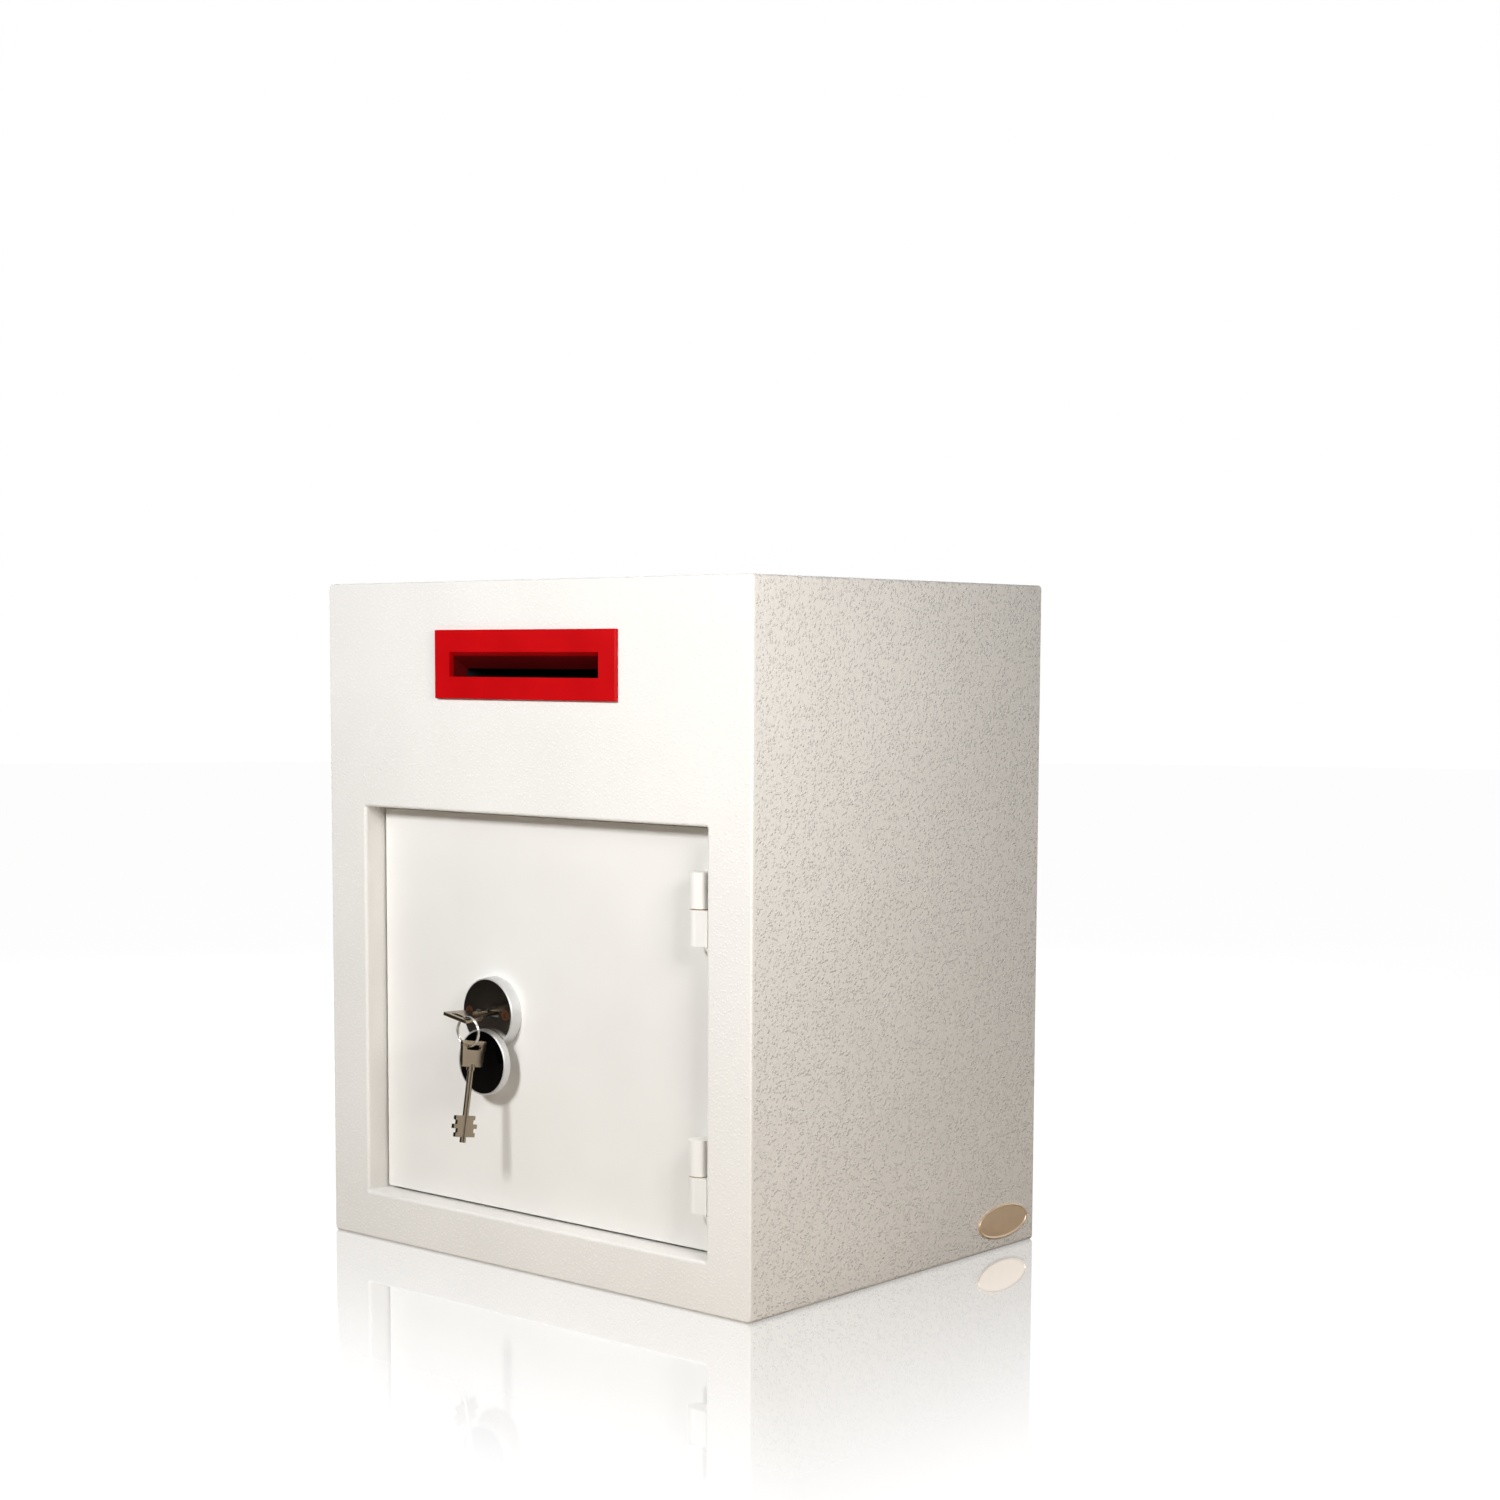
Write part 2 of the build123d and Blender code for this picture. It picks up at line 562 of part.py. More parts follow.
# Four screws hold lid, case and hardened plate to the door
with BuildPart() as lock_screws:
    with BuildSketch(facing_front(lid_back)):
        with Locations(*lock_screw_spots):
            Circle(2.5)
    extrude(amount=lid_back - door_back + 3.0)
    with BuildSketch(facing_back(lid_back)):
        with Locations(*[(-x, z) for x, z in lock_screw_spots]):
            Circle(4.5)
    extrude(amount=2.4)
    with BuildSketch(facing_front(lid_back + 2.4)):
        with Locations(*lock_screw_spots):
            RegularPolygon(radius=1.9, side_count=6)
    extrude(amount=1.4, mode=Mode.SUBTRACT)
finish(lock_screws, "lock_screws")

# Levers: brass plates on one post, shown lifted by the key, with the bolt's stump in the open gate
post_x = LOCK_X + 16.0
post_z = LOCK_Z - 24.0
stump_x = LOCK_X + 4.0
stump_z = LOCK_Z + 17.2
first_lever = bits_y + 0.3
for n in range(LEVERS):
    lever_y = first_lever + n * LEVER_PITCH
    with BuildPart() as lever:
        with BuildSketch(facing_front(lever_y + LEVER_T)):
            Polygon((LOCK_X - 29, LOCK_Z - 16), (post_x - 6, LOCK_Z - 16), (post_x - 6, post_z - 4.5),
                    (post_x + 5, post_z - 4.5), (post_x + 5, LOCK_Z - 6), (post_x, LOCK_Z + 24),
                    (LOCK_X - 29 + 1.5 * n, LOCK_Z + 24), align=None)
            with Locations((LOCK_X, LOCK_Z)):
                Circle(bit_sweep, mode=Mode.SUBTRACT)
            with Locations((post_x, post_z)):
                Circle(3.0 + RUN_CLEAR, mode=Mode.SUBTRACT)
            with Locations((stump_x - THROW / 2 + 0.25, stump_z)):
                SlotOverall(THROW + 6.5, 5.4, mode=Mode.SUBTRACT)
            with Locations((stump_x - THROW, stump_z + 1.4), (stump_x, stump_z + 1.4)):
                Rectangle(6.4, 6.0, mode=Mode.SUBTRACT)
        extrude(amount=LEVER_T)
    finish(lever, f"lock_lever_{n + 1}")

with BuildPart() as lever_post:
    with BuildSketch(facing_back(case_front + LOCK_WALL)):
        with Locations((-post_x, post_z)):
            Circle(3.0)
    extrude(amount=LOCK_DEPTH - LOCK_WALL)
finish(lever_post, "lever_post")

# Lever springs: a bowed strip over each lever, against the top of the case
spring_top = LOCK_Z + LOCK_H / 2 - LOCK_WALL - 0.2
with BuildPart() as lever_springs:
    for n in range(LEVERS):
        lever_y = first_lever + n * LEVER_PITCH
        with BuildSketch(facing_front(lever_y + LEVER_T - 0.2)):
            with BuildLine():
                ThreePointArc((LOCK_X - 20, LOCK_Z + 24.2), (LOCK_X - 3, spring_top),
                              (LOCK_X + 14, LOCK_Z + 24.2))
                Line((LOCK_X + 14, LOCK_Z + 24.2), (LOCK_X + 12.8, LOCK_Z + 24.2))
                ThreePointArc((LOCK_X + 12.8, LOCK_Z + 24.2), (LOCK_X - 3, spring_top - 0.5),
                              (LOCK_X - 18.8, LOCK_Z + 24.2))
                Line((LOCK_X - 18.8, LOCK_Z + 24.2), (LOCK_X - 20, LOCK_Z + 24.2))
            make_face()
        extrude(amount=LEVER_T - 0.4)
finish(lever_springs, "lever_springs")

# Lock bolt: a plate with a window round the key, a stump for the levers and a tail to the bolt bar
window_left = LOCK_X - bit_sweep - 0.5
window_right = LOCK_X + bit_sweep + THROW + 0.5
plate_left = window_left - 8.5
flange_right = bar_x + BAR_T + 3.0
with BuildPart() as lock_bolt:
    with BuildSketch(facing_front(lock_bolt_back)):
        Polygon((plate_left, LOCK_Z - 16.5), (window_right + 3.5, LOCK_Z - 16.5),
                (window_right + 3.5, LOCK_Z + 20.5), (plate_left, LOCK_Z + 20.5), align=None)
        with Locations(((window_left + window_right) / 2, LOCK_Z)):
            Rectangle(window_right - window_left, 2 * bit_sweep + 0.4, mode=Mode.SUBTRACT)
        with Locations((flange_right, LOCK_Z)):
            Rectangle(plate_left + 1 - flange_right, 2 * tail_z, align=(Align.MIN, Align.CENTER))
    extrude(amount=LOCK_BOLT_T)
    with BuildSketch(facing_front(lock_bolt_front)):
        with Locations((stump_x, stump_z)):
            Circle(2.4)
    extrude(amount=lock_bolt_front - first_lever + 0.4)
    with BuildSketch(facing_right(bar_x + BAR_T)):
        with Locations((bolt_y, LOCK_Z)):
            Rectangle(BAR_W - 3, 36)
        with Locations((bolt_y, LOCK_Z - 12.5), (bolt_y, LOCK_Z + 12.5)):
            Circle(2.7, mode=Mode.SUBTRACT)
    extrude(amount=3.0)
finish(lock_bolt, "lock_bolt")

# Bolt bar: carries both round bolts and is screwed to the lock bolt's tail
with BuildPart() as bolt_bar:
    with BuildSketch(facing_right(bar_x)):
        with Locations((bolt_y, LOCK_Z)):
            RectangleRounded(BAR_W, 2 * BOLT_SPREAD + 36, 4)
        with Locations(*[(bolt_y, z) for z in bolt_levels]):
            Circle(5.0 + FIXED_CLEAR, mode=Mode.SUBTRACT)
        with Locations((bolt_y, LOCK_Z - 12.5), (bolt_y, LOCK_Z + 12.5)):
            Circle(2.7, mode=Mode.SUBTRACT)
    extrude(amount=BAR_T)
finish(bolt_bar, "bolt_bar")

# Round bolts, each with a spigot riveted over behind the bar
with BuildPart() as locking_bolts:
    with BuildSketch(facing_right(bolt_tip)):
        with Locations(*[(bolt_y, z) for z in bolt_levels]):
            Circle(BOLT_R)
    extrude(amount=bar_x - bolt_tip)
    chamfer(locking_bolts.faces().filter_by(Axis.X).group_by(Axis.X)[0].edges(), length=1.5)
    with BuildSketch(facing_right(bar_x)):
        with Locations(*[(bolt_y, z) for z in bolt_levels]):
            Circle(5.0)
    extrude(amount=BAR_T)
    with BuildSketch(facing_right(bar_x + BAR_T)):
        with Locations(*[(bolt_y, z) for z in bolt_levels]):
            Circle(6.5)
    extrude(amount=1.8)
finish(locking_bolts, "locking_bolts")

# Two screws and nuts join the tail to the bar
tail_spots = [(bolt_y, LOCK_Z - 12.5), (bolt_y, LOCK_Z + 12.5)]
with BuildPart() as tail_screws:
    with BuildSketch(facing_right(bar_x - 5.0)):
        with Locations(*tail_spots):
            Circle(2.5)
    extrude(amount=BAR_T + 3.0 + 5.0)
    with BuildSketch(facing_right(flange_right)):
        with Locations(*tail_spots):
            Circle(4.2)
    extrude(amount=2.6)
finish(tail_screws, "tail_screws")

with BuildPart() as tail_nuts:
    with BuildSketch(facing_right(bar_x - 4.0)):
        with Locations(*tail_spots):
            RegularPolygon(radius=4.6, side_count=6)
            Circle(2.5 + FIXED_CLEAR, mode=Mode.SUBTRACT)
    extrude(amount=4.0)
finish(tail_nuts, "tail_nuts")

# Inner cover: a folded sheet box over lock and boltwork
cover_y1 = door_back + COVER_H
with BuildPart() as inner_cover:
    with BuildSketch(facing_front(cover_y1)):
        with Locations(((cover_left + cover_right) / 2, (cover_z0 + cover_z1) / 2)):
            RectangleRounded(cover_right - cover_left, cover_z1 - cover_z0, 2.0)
    extrude(amount=COVER_H)
    fillet(inner_cover.faces().sort_by(Axis.Y)[-1].edges(), radius=1.8)
    with BuildSketch(facing_front(cover_y1 - COVER_T)):
        with Locations(((cover_left + cover_right) / 2, (cover_z0 + cover_z1) / 2)):
            RectangleRounded(cover_right - cover_left - 2 * COVER_T,
                             cover_z1 - cover_z0 - 2 * COVER_T, 0.8)
    extrude(amount=COVER_H, mode=Mode.SUBTRACT)
    with BuildSketch(facing_right(cover_left - 1)):
        with Locations(*[(bolt_y, z) for z in bolt_levels]):
            Circle(BOLT_R + 0.6)
    extrude(amount=COVER_T + 2, mode=Mode.SUBTRACT)
finish(inner_cover, "inner_cover")

# Feet of the inner cover: two strips spot-welded to its top and bottom and screwed to the door
with BuildPart() as cover_feet:
    with BuildSketch(facing_front(door_back + COVER_T)):
        for z, grow in ((cover_z0, -1), (cover_z1, 1)):
            with Locations(((cover_left + cover_right) / 2, z + grow * cover_foot / 2)):
                Rectangle(cover_right - cover_left - 8, cover_foot)
        with Locations(*cover_screw_spots):
            Circle(2.2, mode=Mode.SUBTRACT)
    extrude(amount=COVER_T)
finish(cover_feet, "cover_feet")

with BuildPart() as inner_cover_screws:
    with BuildSketch(facing_front(door_back + COVER_T)):
        with Locations(*cover_screw_spots):
            Circle(2.0)
    extrude(amount=COVER_T + 3.0)
    with BuildSketch(facing_back(door_back + COVER_T)):
        with Locations(*[(-x, z) for x, z in cover_screw_spots]):
            Circle(3.4)
    extrude(amount=1.6)
finish(inner_cover_screws, "inner_cover_screws")

# Escutcheon rose: a thick tapered disc with a shallow recess for its face plate
rose_axis = Plane((LOCK_X, door_front, LOCK_Z), x_dir=(1, 0, 0), z_dir=(0, -1, 0))
rose_section = Plane((LOCK_X, door_front, LOCK_Z), x_dir=(1, 0, 0), z_dir=(0, 0, 1))
with BuildPart() as escutcheon_rose:
    with BuildSketch(rose_section):
        Polygon((0, 0), (ROSE_BASE_R, 0), (ROSE_BASE_R, -1.2), (ROSE_FACE_R + 0.5, -ROSE_T + 0.9),
                (ROSE_FACE_R, -ROSE_T), (FACE_R + RUN_CLEAR, -ROSE_T), (FACE_R + RUN_CLEAR, -ROSE_T + FACE_T),
                (0, -ROSE_T + FACE_T), align=None)
    revolve(axis=Axis((LOCK_X, door_front, LOCK_Z), (0, 1, 0)))
    with BuildSketch(rose_axis):
        SlotOverall(KEYHOLE_W, KEYHOLE_H)
        Circle(KEYHOLE_BARREL_R)
        with Locations((-ROSE_SCREW_X, 0), (ROSE_SCREW_X, 0)):
            Circle(2.2)
    extrude(amount=ROSE_T, mode=Mode.SUBTRACT)
    with BuildSketch(rose_axis.offset(4.0)):
        with Locations((0, -COVER_DROP)):
            Circle(PIVOT_R + FIXED_CLEAR)
    extrude(amount=ROSE_T, mode=Mode.SUBTRACT)
finish(escutcheon_rose, "escutcheon_rose")

# Face plate: polished steel, with the keyhole and two countersunk screw holes
with BuildPart() as escutcheon_face:
    with BuildSketch(rose_axis.offset(ROSE_T - FACE_T)):
        Circle(FACE_R)
        SlotOverall(KEYHOLE_W, KEYHOLE_H, mode=Mode.SUBTRACT)
        Circle(KEYHOLE_BARREL_R, mode=Mode.SUBTRACT)
        with Locations((-ROSE_SCREW_X, 0), (ROSE_SCREW_X, 0)):
            Circle(3.9, mode=Mode.SUBTRACT)
        with Locations((0, -COVER_DROP)):
            Circle(PIVOT_R + 0.1, mode=Mode.SUBTRACT)
    extrude(amount=FACE_T)
finish(escutcheon_face, "escutcheon_face")

# Cross-head screws of the escutcheon, flush with the face
with BuildPart() as escutcheon_screws:
    with BuildSketch(rose_axis.offset(-DOOR_T + 0.6)):
        with Locations((-ROSE_SCREW_X, 0), (ROSE_SCREW_X, 0)):
            Circle(2.0)
    extrude(amount=ROSE_T + DOOR_T - 0.6 - FACE_T)
    with BuildSketch(rose_axis.offset(ROSE_T - FACE_T)):
        with Locations((-ROSE_SCREW_X, 0), (ROSE_SCREW_X, 0)):
            Circle(3.8)
    extrude(amount=FACE_T)
    with BuildSketch(rose_axis.offset(ROSE_T)):
        with Locations((-ROSE_SCREW_X, 0), (ROSE_SCREW_X, 0)):
            Rectangle(4.4, 0.9)
            Rectangle(0.9, 4.4)
    extrude(amount=-0.9, mode=Mode.SUBTRACT)
finish(escutcheon_screws, "escutcheon_screws")

# Pivot of the swing cover: a headed rivet fixed in the rose
pocket_floor = cover_back - 2.6
with BuildPart() as cover_pivot:
    with BuildSketch(facing_front(door_front - 4.0)):
        with Locations((LOCK_X, pivot_z)):
            Circle(PIVOT_R)
    extrude(amount=door_front - 4.0 - pocket_floor + 0.1)
    with BuildSketch(facing_front(pocket_floor - 0.1)):
        with Locations((LOCK_X, pivot_z)):
            Circle(3.6)
    extrude(amount=1.2)
finish(cover_pivot, "cover_pivot")

with BuildPart() as cover_washer:
    with BuildSketch(facing_front(rose_front)):
        with Locations((LOCK_X, pivot_z)):
            Circle(4.6)
            Circle(PIVOT_R + 0.1, mode=Mode.SUBTRACT)
    extrude(amount=COVER_AIR - 0.04)
finish(cover_washer, "cover_washer")

# Swing cover: a round cap that hangs from the pivot, with a black disc let into its face
with BuildPart() as keyhole_cover:
    with BuildSketch(facing_front(cover_back)):
        with Locations((LOCK_X, cover_z)):
            Circle(COVER_R)
    extrude(amount=COVER_BODY_T)
    fillet(keyhole_cover.faces().sort_by(Axis.Y)[0].edges(), radius=0.8)
    with BuildSketch(facing_front(cover_front + 1.0)):
        with Locations((LOCK_X, cover_z)):
            Circle(COVER_FACE_R + RUN_CLEAR)
    extrude(amount=1.0, mode=Mode.SUBTRACT)
    with BuildSketch(facing_front(pocket_floor)):
        with Locations((LOCK_X, pivot_z)):
            Circle(4.2)
    extrude(amount=COVER_BODY_T, mode=Mode.SUBTRACT)
    with BuildSketch(facing_front(cover_back)):
        with Locations((LOCK_X, pivot_z)):
            Circle(PIVOT_R + RUN_CLEAR)
    extrude(amount=COVER_BODY_T, mode=Mode.SUBTRACT)
finish(keyhole_cover, "keyhole_cover")

with BuildPart() as keyhole_cover_face:
    with BuildSketch(facing_front(cover_front + 1.0)):
        with Locations((LOCK_X, cover_z)):
            Circle(COVER_FACE_R)
    extrude(amount=0.9)
finish(keyhole_cover_face, "keyhole_cover_face")

# Double-bit key, drawn along its own +Y from the outer end of its bow to its tip
bit_outline = []
for n, reach in enumerate(BIT_STEPS):
    bit_outline += [(reach, bit_start + n * BIT_STEP), (reach, bit_start + (n + 1) * BIT_STEP)]
mirrored = [(-x, bit_start + KEY_L - BIT_TIP - y) for x, y in bit_outline]
with BuildPart() as key_blank:
    with BuildSketch(Plane.XY.offset(-BOW_T / 2)):
        with BuildLine():
            Polyline((-BOW_W_OUT / 2, 0), (BOW_W_OUT / 2, 0), (BOW_W_IN / 2, BOW_L),
                     (-BOW_W_IN / 2, BOW_L), close=True)
        make_face()
        fillet(vertices(), radius=1.2)
        with Locations((0, BOW_BAR + BOW_SLOT_H / 2)):
            SlotOverall(BOW_SLOT_W, BOW_SLOT_H, mode=Mode.SUBTRACT)
    extrude(amount=BOW_T)
    fillet(key_blank.faces().filter_by(Axis.Z).edges(), radius=BOW_ROUND)
    with BuildSketch(Plane.XZ.offset(-BOW_L + 2.0)):
        Circle(SHANK_R)
    extrude(amount=-(KEY_L - BOW_L + 2.0))
    with BuildSketch(Plane.XZ.offset(-BOW_L + 0.5)):
        Circle(SHANK_R + 0.9)
    extrude(amount=-3.0)
    with BuildSketch(Plane.XY.offset(-BIT_T / 2)):
        Polygon(*bit_outline, (0, KEY_L - BIT_TIP), (0, bit_start), align=None)
        Polygon(*mirrored, (0, bit_start), (0, KEY_L - BIT_TIP), align=None)
    extrude(amount=BIT_T)
key_shape = key_blank.part
roll = math.radians(KEY_ROLL)
in_lock = Plane((LOCK_X, key_start, LOCK_Z), x_dir=(math.cos(roll), 0, -math.sin(roll)),
                z_dir=(math.sin(roll), 0, math.cos(roll)))
with BuildPart() as key_in_lock:
    add(in_lock.location * key_shape)
finish(key_in_lock, "key_in_lock")

# Curtain: turns with the key and closes the case's round hole
curtain_t = bits_y - 0.4 - (case_front + LOCK_WALL + 0.1)
with BuildPart() as lock_curtain:
    with BuildSketch(Plane((LOCK_X, case_front + 0.1, LOCK_Z), x_dir=in_lock.x_dir, z_dir=(0, 1, 0))):
        Circle(hub_r)
    extrude(amount=LOCK_WALL)
    with BuildSketch(Plane((LOCK_X, case_front + 0.1 + LOCK_WALL, LOCK_Z), x_dir=in_lock.x_dir,
                           z_dir=(0, 1, 0))):
        Circle(hub_r + 1.6)
    extrude(amount=curtain_t)
    with BuildSketch(Plane((LOCK_X, case_front + 0.1, LOCK_Z), x_dir=in_lock.x_dir, z_dir=(0, 1, 0))):
        SlotOverall(2 * max(BIT_STEPS) + 1.2, BIT_T + 0.8)
        Circle(SHANK_R + 0.4)
    extrude(amount=LOCK_DEPTH, mode=Mode.SUBTRACT)
finish(lock_curtain, "lock_curtain")

# Split ring: two turns of wire side by side, through the bow's slot and round its side bar
slot_mid = BOW_BAR + BOW_SLOT_H / 2
bow_half = BOW_W_OUT / 2 - (BOW_W_OUT - BOW_W_IN) / 2 * slot_mid / BOW_L
bar_mid = (bow_half + BOW_SLOT_W / 2) / 2
ring_x = LOCK_X + bar_mid * math.cos(roll)
ring_y = key_start + slot_mid
bar_z = LOCK_Z - bar_mid * math.sin(roll)
ring_z = bar_z - RING_HANG
ring_turn = 0.43 * RING_WIRE
with BuildPart() as key_ring:
    with BuildSketch(Plane((ring_x, ring_y, ring_z), x_dir=(1, 0, 0), z_dir=(0, 0, 1))):
        with Locations((RING_R, -ring_turn), (RING_R, ring_turn)):
            Circle(RING_WIRE / 2)
    revolve(axis=Axis((ring_x, ring_y, ring_z), (0, 1, 0)))
finish(key_ring, "key_ring")

# Spare key: hangs on the ring's lowest point from one end of its bow's slot
ring_reach = ring_turn + RING_WIRE / 2
wire_x = -(BOW_SLOT_W / 2 - BOW_SLOT_H / 2 - 0.1)
wire_y = BOW_BAR + ring_reach + 0.08
tilt = math.radians(SPARE_TILT)
across = Vector(0, math.cos(tilt), -math.sin(tilt))
along = Vector(0, -math.sin(tilt), -math.cos(tilt))
wire_point = Vector(ring_x, ring_y, ring_z - RING_R)
spare_origin = wire_point - across * wire_x - along * wire_y
hanging = Plane(spare_origin, x_dir=across, z_dir=(-1, 0, 0))
with BuildPart() as spare_key:
    add(hanging.location * key_shape)
finish(spare_key, "spare_key")

print("hinge axis", round(hinge_x, 3), round(hinge_y, 3), "cover pivot z", round(pivot_z, 3))
print("ring pivot", round(ring_x, 3), round(ring_y, 3), round(bar_z, 3))
print("spare pivot", [round(v, 3) for v in wire_point])
print("bolts: tips at", round(bolt_tip, 3), "behind the stop frame at", round(-stop_x, 3))
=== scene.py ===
# %% [markdown]
# # A deposit safe, dressed for its picture
# The safe is a folded steel cabinet with a recessed door, a red slot for envelopes and two keys on a
# ring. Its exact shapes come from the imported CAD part. This file gives every piece its finish, swaps
# two small pieces for finer ones, and sets the light and the camera.
# Lengths are in metres: +X to the right, +Y into the safe, +Z up.

import json
import math

import bpy
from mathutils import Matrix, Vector


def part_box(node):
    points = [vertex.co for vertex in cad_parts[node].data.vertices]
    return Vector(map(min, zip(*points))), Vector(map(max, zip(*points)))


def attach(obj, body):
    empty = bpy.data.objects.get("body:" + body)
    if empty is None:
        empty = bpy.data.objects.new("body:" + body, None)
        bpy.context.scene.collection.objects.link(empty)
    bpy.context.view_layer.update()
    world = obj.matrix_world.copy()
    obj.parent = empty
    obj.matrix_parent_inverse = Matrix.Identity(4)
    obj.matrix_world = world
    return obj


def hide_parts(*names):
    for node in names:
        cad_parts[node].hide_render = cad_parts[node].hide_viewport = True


MM = 0.001
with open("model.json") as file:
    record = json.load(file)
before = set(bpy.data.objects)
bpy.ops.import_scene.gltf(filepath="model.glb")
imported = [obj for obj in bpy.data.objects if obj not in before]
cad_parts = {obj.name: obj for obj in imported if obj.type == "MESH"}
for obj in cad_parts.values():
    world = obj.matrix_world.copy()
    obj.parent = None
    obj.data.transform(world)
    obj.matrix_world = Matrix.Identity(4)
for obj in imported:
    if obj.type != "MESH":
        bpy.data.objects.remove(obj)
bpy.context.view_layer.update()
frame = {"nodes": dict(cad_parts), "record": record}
SIDE_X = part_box("cabinet_wrap")[1].x
FRONT_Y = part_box("front_panel")[0].y

# %% [markdown]
# ## Sums with sockets
# A shader is a sum of masks, noises and numbers. Blender keeps such a sum as a net of small nodes,
# which is slow to read. A class that wraps one output socket and answers to + - * / < > lets the sum
# be written as an ordinary expression. Each operation adds its Math node behind the scenes.


# %% A wrapped socket
class Wire:
    def __init__(self, paint, socket):
        self.paint, self.socket = paint, socket

    def math(self, kind, *values):
        return self.paint.node("Math", {"operation": kind}, dict(enumerate(values)))

    def __add__(self, other):
        return self.math("ADD", self, other)

    def __sub__(self, other):
        return self.math("SUBTRACT", self, other)

    def __rsub__(self, other):
        return self.math("SUBTRACT", other, self)

    def __mul__(self, other):
        return self.math("MULTIPLY", self, other)

    def __truediv__(self, other):
        return self.math("DIVIDE", self, other)

    def __rtruediv__(self, other):
        return self.math("DIVIDE", other, self)

    def __gt__(self, other):
        return self.math("GREATER_THAN", self, other)

    def __lt__(self, other):
        return self.math("LESS_THAN", self, other)

    def __abs__(self):
        return self.math("ABSOLUTE", self)

    def most(self, other):
        return self.math("MAXIMUM", self, other)

    __radd__, __rmul__ = __add__, __mul__


print("sockets can be added, multiplied and compared")

# %% [markdown]
# ## One way in for every other node
# A Paint fills the node tree of its owner, which is a material or the world. `Paint.node` takes a
# node's type, then its settings (they can change which sockets it has), then what goes into its
# sockets: a number, a colour or a Wire. It hands back the first output, or the one that is asked for.
# The other methods are short names for nodes that come up again and again. `Paint.finish` ends a
# material with the Principled shader, whose sockets it takes by name.


# %% A can of paint
class Paint:
    def __init__(self, owner, place="Object"):
        owner.use_nodes = True
        self.owner, self.tree = owner, owner.node_tree
        self.tree.nodes.clear()
        self.place = self.node("TexCoord", out=place)

    def node(self, kind, settings=None, inputs=None, out=0):
        node = self.tree.nodes.new("ShaderNode" + kind)
        for key, value in (settings or {}).items():
            if key == "stops":
                for element, (where, tone) in zip(node.color_ramp.elements, value):
                    element.position = where
                    element.color = tone if hasattr(tone, "__len__") else (tone, tone, tone, 1)
            else:
                setattr(node, key, value)
        for key, value in (inputs or {}).items():
            if isinstance(value, Wire):
                self.tree.links.new(value.socket, node.inputs[key])
            else:
                node.inputs[key].default_value = value
        return Wire(self, node.outputs[out]) if len(node.outputs) else node

    def ramp(self, value, *stops):
        """A grey or a colour that depends on value; each of the two stops is (where, tone)."""
        return self.node("ValToRGB", {"stops": stops}, {"Fac": value})

    def ease(self, value, start, end, low, high):
        """A number that eases from low to high while value goes from start to end."""
        limits = {"From Min": start, "From Max": end, "To Min": low, "To Max": high}
        return self.node("MapRange", {"interpolation_type": "SMOOTHSTEP"}, {"Value": value, **limits})

    def mix(self, amount, first, second):
        return self.node("Mix", {"data_type": "RGBA"}, {0: amount, 6: first, 7: second}, out=2)

    def noise(self, size, detail, rough, where=None):
        inputs = {"Vector": where or self.place, "Scale": 1 / size, "Detail": detail, "Roughness": rough}
        return self.node("TexNoise", {}, inputs)

    def scaled(self, factors, where=None):
        return self.node("VectorMath", {"operation": "MULTIPLY"}, {0: where or self.place, 1: factors})

    def axis(self, letter, where=None):
        return self.node("SeparateXYZ", {}, {0: where or self.place}, out=letter)

    def bump(self, height, depth, strength=1.0):
        return self.node("Bump", {}, {"Height": height, "Distance": depth, "Strength": strength})

    def finish(self, **sockets):
        names = {key.replace("_", " ").title().replace("Ior", "IOR"): value for key, value in sockets.items()}
        shader = self.node("BsdfPrincipled", {}, names)
        self.node("OutputMaterial", {}, {"Surface": shader})
        return self.owner


def material(name):
    return Paint(bpy.data.materials.new(name))


def shade(*values):
    """A colour as read in a picture, 0 to 255, as linear numbers; the constants are those of sRGB."""
    parts = [value / 255 for value in values]
    return tuple(((p + 0.055) / 1.055) ** 2.4 if p > 0.04 else p / 12.92 for p in parts) + (1,)


print("ready to mix paint")

# %% [markdown]
# ## Powder coat
# Cabinet steel is dusted with dry paint and baked. The coarse coat gathers into low round nodules, a
# few millimetres apart, over a finer pebbling. Real bumps would need millions of faces, so a Bump
# node fakes them. A Voronoi pattern scatters the nodules: each of its cells has a middle, and a
# second number per cell decides whether it holds a nodule and how high that one is. A little noise
# bends the cells, so that no two nodules have the same outline. The photograph shows the bumps far
# less on the front than on the side, so the same recipe takes a depth.

# %% The cabinet's textured coat
NODULE_CELL = 0.0019
PEBBLE = 0.0007
BEND_SIZE, BEND_REACH = 0.001, 0.0006


